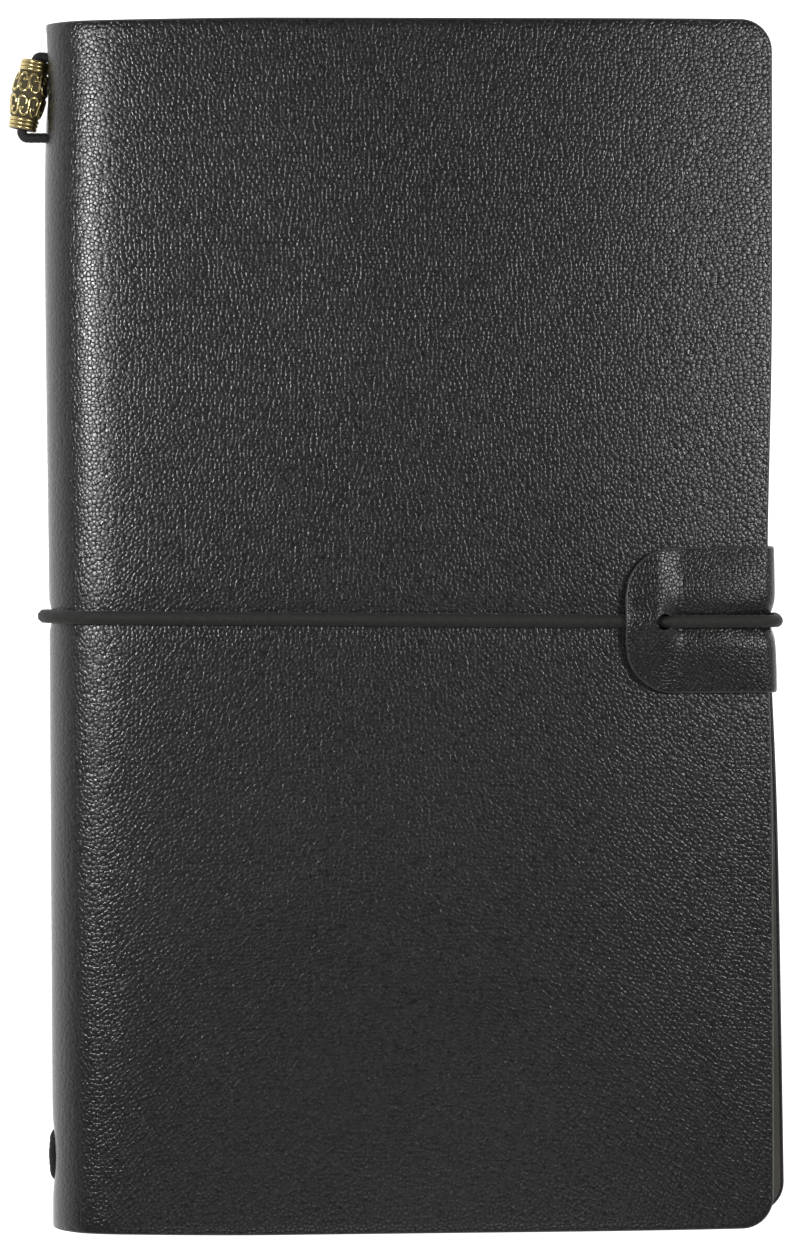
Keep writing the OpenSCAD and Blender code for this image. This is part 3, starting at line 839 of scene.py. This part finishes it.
def scroll_distance(p, q, radius=0.78, knee=0.75, tail=0.3):
    """Distance in mm from an S: a bar up the middle, an arch to the right on top, one to the left below."""
    if q < 0:
        p, q = -p, -q
    if q > knee:
        return abs(math.hypot(p - radius, q - knee) - radius)
    bar = abs(p)
    hook = math.hypot(p - 2 * radius, max(knee - tail - q, 0))
    return min(bar, hook)


def scroll_relief(turn, along_mm, row_mm, scrolls=9):
    """Raised S-scrolls with a dot between each two, in two rows round the bead's middle."""
    pitch = 2 * math.pi * BEAD_R / MM / scrolls
    best = 0.0
    for row in (-1, 1):
        q = along_mm - row * row_mm / 2
        if abs(q) > row_mm:
            continue
        first = (-turn * scrolls + (0.35 if row > 0 else 0.0)) % 1.0
        for cell in (-1, 0, 1, 2):
            p = (first - cell) * pitch
            if abs(p) > 2.2:
                continue
            best = max(best, 1 - smooth_step((scroll_distance(p, q) - 0.1) / 0.22))
            best = max(best, 1 - smooth_step((math.hypot(p - pitch / 2, q - row * 0.4) - 0.16) / 0.2))
    return best


def bead_profile():
    """Radius, distance along the axis and how much scroll relief there is, from one end to the other."""
    bore = THIN_CORD_R + 0.3 * MM
    flat = BEAD_R - BEAD_END_R
    half = BEAD_L / 2 - RING_L
    bulge = (half**2 + flat**2) / (2 * flat)
    profile = [(bore, -BEAD_L / 2 + 0.5 * MM, 0), (bore + 0.1 * MM, -BEAD_L / 2 + 0.05 * MM, 0)]
    ends = []
    pitch = RING_L / 3
    for ring in range(3):
        centre = BEAD_L / 2 - pitch * (ring + 0.5)
        size = BEAD_END_R + ring * 0.07 * MM
        for i in range(9):
            a = math.pi * i / 8
            radius = size - RING_H + RING_H * math.sin(a) ** 0.8
            ends.append((radius, centre + pitch * 0.5 * math.cos(a), 0))
    profile += [(r, -z, w) for r, z, w in ends]
    steps = 110
    for i in range(steps + 1):
        z = half * (2 * i / steps - 1)
        r = BEAD_R - bulge + math.sqrt(bulge**2 - z**2) - 0.16 * MM
        profile.append((r, z, smooth_step((1 - abs(z) / half) / 0.06)))
    profile += list(reversed(ends))
    profile += [(bore + 0.1 * MM, BEAD_L / 2 - 0.05 * MM, 0), (bore, BEAD_L / 2 - 0.5 * MM, 0)]
    return profile


def make_bead():
    profile = bead_profile()
    sides = 180
    half = BEAD_L / 2 - RING_L
    axis = BEAD_AXIS
    up = Vector((0, 0, 1))
    side = axis.cross(up).normalized()
    verts, relief = [], []
    for r, z, amount in profile:
        for k in range(sides):
            a = 2 * math.pi * k / sides
            height = scroll_relief(k / sides, z / MM, half / MM) if amount else 0.0
            radius = r + 0.24 * MM * height * amount
            verts.append(BEAD_AT + axis * z + (side * math.cos(a) + up * math.sin(a)) * radius)
            ring = smooth_step((r - BEAD_END_R + 0.2 * MM) / (0.2 * MM))
            relief.append(height if amount else 0.85 * ring)
    bead = new_object("bead_barrel", verts, grid_faces(len(profile), sides, closed=True), BRASS)
    attribute = bead.data.attributes.new("relief", "FLOAT", "POINT")
    attribute.data.foreach_set("value", relief)
    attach(bead, "bead")
    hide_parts("bead")


def flat_route(points, step=0.15 * MM):
    """A route at the height of the spine's middle through points (x, y, corner radius)."""
    return [Vector((p.x, p.y, SPINE_Z)) for p in resample(fillet(points), step)]


def thin_cord(name, points, body, node):
    cord = braided(name, flat_route(points), Vector((0, 0, 1)), THIN_CORD_R, THIN_BRAID, strands=6, sides=24)
    if body == "back":
        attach(cord, body)
    else:
        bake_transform(cord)
    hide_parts(node)


def make_thin_cords():
    wall = SPINE_OUT_X
    top = BEAD_AT + BEAD_AXIS * (BEAD_L / 2 + 0.85 * MM)
    low = BEAD_AT - BEAD_AXIS * (BEAD_L / 2 + 1.4 * MM)
    head, foot = HEAD_HOLES
    thin_cord("bead_loop_cord", [
        (wall + 2.4 * MM, head, 0), (top.x, top.y, 0.9 * MM), (low.x, low.y, 1 * MM),
        (wall + 2.4 * MM, foot, 0),
    ], "bead_loop", "bead_cord")
    low_y, high_y = TAIL_HOLES
    thin_cord("tail_loop_cord", [
        (wall + 2.4 * MM, high_y, 0), (wall + 0.5 * MM, high_y - 0.1 * MM, 1.2 * MM),
        (wall + 0.2 * MM, (low_y + high_y) / 2, 6 * MM), (wall + 0.5 * MM, low_y + 0.1 * MM, 1.2 * MM),
        (wall + 2.4 * MM, low_y, 0),
    ], "back", "tail_cord")


# ---------------------------------------------------------------- booklets

def fold_line(fold_x, fold_z, radius, x_end):
    """Section (x, z, nx, nz) of a folded sheet: lower leaf, round the fold, upper leaf."""
    flat = [x_end - (x_end - fold_x) * i / 24 for i in range(24)]
    line = [(x, fold_z - radius, 0, -1) for x in flat]
    for i in range(13):
        a = math.radians(270 - 180 * i / 12)
        line.append((fold_x + radius * math.cos(a), fold_z + radius * math.sin(a), math.cos(a), math.sin(a)))
    return line + [(x, fold_z + radius, 0, 1) for x in reversed(flat)]


def folded_sheets(name, fold_x, fold_z, layers, half_h, corner_r, material, wave=0.0):
    """Folded sheets inside each other; each layer is (inner radius, thickness, x of its fore-edge)."""
    verts, faces = [], []
    for index, (inner, thick, x_end) in enumerate(layers):
        line = fold_line(fold_x, fold_z, inner + thick / 2, x_end)
        rows = 24
        start = len(verts)
        ripple = 0.05 * MM * noise.noise(Vector((index * 1.7, 4.2, 0))) if wave else 0.0
        for face in (0.5, -0.5):
            for x, z, nx, nz in line:
                d = max(x_end - x, 0)
                reach = half_h + ripple
                if d < corner_r:
                    reach -= corner_r - math.sqrt(corner_r**2 - (corner_r - d) ** 2)
                for r in range(rows + 1):
                    y = reach * (2 * r / rows - 1)
                    lift = thick * face
                    if wave:
                        far = smooth_step((x - fold_x) / (30 * MM))
                        lift += wave * far * noise.noise(Vector((x / 0.03, y / 0.05, 7.7))) * nz
                    verts.append((x + nx * lift, y, z + nz * lift))
        n, m = rows + 1, len(line)
        faces += grid_faces(m, n, start) + grid_faces(m, n, start + n * m)
        rim = grid_border(m, n)
        a = [start + k for k in rim]
        b = [start + n * m + k for k in rim]
        faces += [(a[k], a[(k + 1) % len(a)], b[(k + 1) % len(a)], b[k]) for k in range(len(a))]
    obj = new_object(name, verts, faces, material)
    obj.data.set_sharp_from_angle(angle=math.radians(50))
    return obj


FOLD_R = (corner("middle_booklet_card", 1, "z") - corner("middle_booklet_card", 0, "z")) / 2
CARD_T = 0.3 * MM
BORE_R = 0.75 * MM
BOOK_HALF_H = corner("middle_booklet_card", 1, "y")
BOOK_CORNER_R = 4 * MM


def page_layers(inner, outer, x_end, sheets):
    """Sheets of one thickness from the inner to the outer radius, with slightly uneven fore-edges."""
    thick = (outer - inner) / sheets
    layers = []
    for k in range(sheets):
        uneven = 0.22 * MM * noise.noise(Vector((k * 2.3, x_end * 90, 1.1)))
        layers.append((inner + k * thick, thick * 0.94, x_end - 0.5 * MM + uneven))
    return layers


def make_booklet(which, sheets=9):
    """A closed booklet that stays on the stack: card cover and nested folded sheets."""
    card_node, pages_node = f"{which}_booklet_card", f"{which}_booklet_pages"
    fold_x = corner(card_node, 0, "x") + FOLD_R
    fold_z = box_middle(card_node, "z")
    x_end = corner(card_node, 1, "x")
    card = folded_sheets(card_node + "_cover", fold_x, fold_z, [(FOLD_R - CARD_T, CARD_T * 0.9, x_end)],
                         BOOK_HALF_H, BOOK_CORNER_R, CARD)
    pages = folded_sheets(pages_node + "_sheets", fold_x, fold_z,
                          page_layers(BORE_R, FOLD_R - CARD_T, x_end, sheets),
                          BOOK_HALF_H - 0.5 * MM, BOOK_CORNER_R, PAPER, wave=0.05 * MM)
    for piece, node, name in ((card, card_node, "card"), (pages, pages_node, "paper")):
        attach(piece, "back")
        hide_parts(node)


def make_top_booklet():
    """The booklet on top, whose upper leaves turn with the cover in three groups."""
    x_end = corner("top_booklet_back_card", 1, "x")
    limit = FOLD_R - CARD_T
    share = (limit - BORE_R) / 3
    for index, turn in enumerate(("first", "second", "third")):
        inner = BORE_R + index * share
        group = folded_sheets(f"top_booklet_sheets_{turn}", FOLD_X, FOLD_Z,
                              page_layers(inner, inner + share, x_end, 3),
                              BOOK_HALF_H - 0.5 * MM, BOOK_CORNER_R, PAPER, wave=0.04 * MM)
        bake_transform(group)
        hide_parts(f"top_booklet_leaves_{turn}", "top_booklet_lower_pages")
    card = folded_sheets("top_booklet_card", FOLD_X, FOLD_Z, [(limit, CARD_T * 0.9, x_end)],
                         BOOK_HALF_H, BOOK_CORNER_R, CARD)
    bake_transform(card)
    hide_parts("top_booklet_front_card", "top_booklet_back_card")


# ---------------------------------------------------------------- what stays as the frame has it

def paint_frame():
    """The small inner pieces keep their shape and get their own materials."""
    looks = {"strand": THIN_BRAID, "knot": THIN_BRAID, "staples": WIRE}
    for name, obj in frame["nodes"].items():
        for word, material in looks.items():
            if word in name:
                for slot in obj.material_slots:
                    slot.material = material


# ---------------------------------------------------------------- camera, floor and light

CAMERA_UP = 700 * MM
VIEW_H = 208.9 * MM
# Where it stands and what it looks at: from the spine's outside, and from the middle of the notebook's height
CAMERA_AT = (25.55 * MM, 20.7 * MM)
CAMERA_AIM = (58.7 * MM, 0.2 * MM)
CAMERA_ROLL = -0.216


def make_camera():
    """Over the notebook, a little towards the spine and the head, and aimed at its middle."""
    data = bpy.data.cameras.new("camera")
    data.sensor_width = 36
    data.lens = data.sensor_width * CAMERA_UP / VIEW_H
    camera = bpy.data.objects.new("camera", data)
    place = Vector((SPINE_OUT_X + CAMERA_AT[0], CAMERA_AT[1], CLOSED_T + CAMERA_UP))
    aim = Vector((SPINE_OUT_X + CAMERA_AIM[0], CAMERA_AIM[1], CLOSED_T))
    back = (place - aim).normalized()
    right = Vector((0, 1, 0)).cross(back).normalized()
    turned = Matrix((right, back.cross(right), back)).transposed()
    turned = turned @ Matrix.Rotation(math.radians(CAMERA_ROLL), 3, "Z")
    camera.matrix_world = Matrix.Translation(place) @ turned.to_4x4()
    bpy.context.scene.collection.objects.link(camera)
    bpy.context.scene.camera = camera


def soft_light(name, place, aim, size, radiance):
    """A rectangular softbox; radiance is how bright its face looks."""
    data = bpy.data.lights.new(name, "AREA")
    data.shape = "RECTANGLE"
    data.size, data.size_y = size
    data.energy = radiance * math.pi * size[0] * size[1]
    light = bpy.data.objects.new(name, data)
    light.location = place
    light.rotation_euler = (Vector(aim) - Vector(place)).to_track_quat("-Z", "Y").to_euler()
    bpy.context.scene.collection.objects.link(light)


def make_room():
    """Pale surroundings low down all round, and a dark ceiling."""
    world = bpy.data.worlds.new("room")
    world.use_nodes = True
    nodes, links = world.node_tree.nodes, world.node_tree.links
    direction = nodes.new("ShaderNodeTexCoord").outputs["Generated"]
    split = nodes.new("ShaderNodeSeparateXYZ")
    ramp = nodes.new("ShaderNodeValToRGB")
    set_stops(ramp.color_ramp, [(0.0, 1.0), (0.28, 1.1), (0.5, 0.2), (0.85, 0.11)])
    links.new(direction, split.inputs[0])
    links.new(split.outputs["Z"], ramp.inputs["Fac"])
    links.new(ramp.outputs["Color"], nodes["Background"].inputs["Color"])
    bpy.context.scene.world = world


def make_studio():
    floor_material = Nodes("floor")
    floor_material.set(Base_Color=(0.6, 0.6, 0.6), Roughness=0.9, Emission_Color=(1.0, 1.0, 1.0),
                       Emission_Strength=1.0)
    floor = new_object("floor", [(-3, -3, 0), (3, -3, 0), (3, 3, 0), (-3, 3, 0)], [(0, 1, 2, 3)],
                       floor_material.material)
    floor.location.z = -0.02 * MM
    make_room()
    soft_light("left_strip", (-0.262, 0.085, 0.42), (-0.05, 0.055, 0), (0.09, 0.09), 60)
    soft_light("right_box", (0.27, 0.09, 0.42), (0.05, 0.05, 0), (0.1, 0.12), 26)
    soft_light("foot_fill", (0.02, -0.26, 0.45), (0.0, -0.06, 0), (0.26, 0.08), 2.7)
    bpy.context.scene.view_settings.view_transform = "Standard"


make_camera()
make_studio()
make_cover()
make_closure_elastic()
make_tab()
make_bead()
make_thin_cords()
make_booklet("bottom")
make_booklet("middle")
make_top_booklet()
paint_frame()
